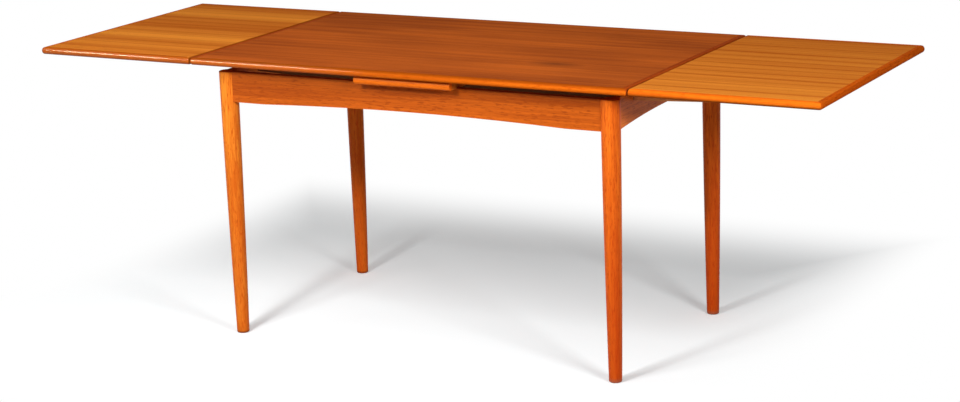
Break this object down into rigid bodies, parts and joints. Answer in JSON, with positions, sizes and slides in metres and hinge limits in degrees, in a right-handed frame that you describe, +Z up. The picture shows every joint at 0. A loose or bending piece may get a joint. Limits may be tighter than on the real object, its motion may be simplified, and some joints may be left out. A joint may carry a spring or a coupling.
{
  "type": "draw leaf table",
  "caption": "Wooden dining table with a loose centre top over a fixed board, a draw leaf on inclined runners at each end and turned tapered legs.",
  "frame": {"origin": "on the floor, under the middle of the table", "axes": "+X along the table towards the right leaf, +Y towards the back, +Z up"},
  "size_m": [2.146, 0.74, 0.73],
  "materials": {
    "centre_veneer": "satin",
    "leaf_veneer": "satin",
    "lipping_wood": "satin",
    "frame_wood": "satin",
    "board_wood": "satin",
    "runner_wood": "matte",
    "screw_steel": "satin",
    "felt": "matte"
  },
  "bodies": {
    "frame": {"back_apron": "frame_wood", "back_left_corner_block": "runner_wood", "back_left_leg": "frame_wood", "back_right_corner_block": "runner_wood", "back_right_leg": "frame_wood", "centre_board": "board_wood", "centre_board_back_lipping": "lipping_wood", "centre_board_front_lipping": "lipping_wood", "centre_board_screws": "screw_steel", "corner_block_screws": "screw_steel", "felt_pads": "felt", "front_apron": "frame_wood", "front_left_corner_block": "runner_wood", "front_left_leg": "frame_wood", "front_right_corner_block": "runner_wood", "front_right_leg": "frame_wood", "guide_rail": "runner_wood", "left_end_apron": "frame_wood", "right_end_apron": "frame_wood"},
    "centre_top": {"guide_pegs": "runner_wood", "top_back_lipping": "lipping_wood", "top_front_lipping": "lipping_wood", "top_left_lipping": "lipping_wood", "top_panel": "centre_veneer", "top_right_lipping": "lipping_wood"},
    "left_leaf": {"left_leaf_back_lipping": "lipping_wood", "left_leaf_back_runner": "runner_wood", "left_leaf_front_lipping": "lipping_wood", "left_leaf_front_runner": "runner_wood", "left_leaf_inner_lipping": "lipping_wood", "left_leaf_outer_lipping": "lipping_wood", "left_leaf_panel": "leaf_veneer", "left_leaf_runner_screws": "screw_steel", "left_leaf_stop_pins": "runner_wood"},
    "right_leaf": {"right_leaf_back_lipping": "lipping_wood", "right_leaf_back_runner": "runner_wood", "right_leaf_front_lipping": "lipping_wood", "right_leaf_front_runner": "runner_wood", "right_leaf_inner_lipping": "lipping_wood", "right_leaf_outer_lipping": "lipping_wood", "right_leaf_panel": "leaf_veneer", "right_leaf_runner_screws": "screw_steel", "right_leaf_stop_pins": "runner_wood"}
  },
  "joints": [
    {"name": "top_lift", "type": "slide", "parent": "frame", "child": "centre_top", "axis": [0, 0, 1], "range_m": [0, 0.03]},
    {"name": "right_leaf_draw", "type": "slide", "parent": "frame", "child": "right_leaf", "axis": [0.999, 0, 0.0446], "range_m": [0, 0.0148]},
    {"name": "left_leaf_draw", "type": "slide", "parent": "frame", "child": "left_leaf", "axis": [-0.999, 0, 0.0446], "range_m": [0, 0.0148]}
  ]
}
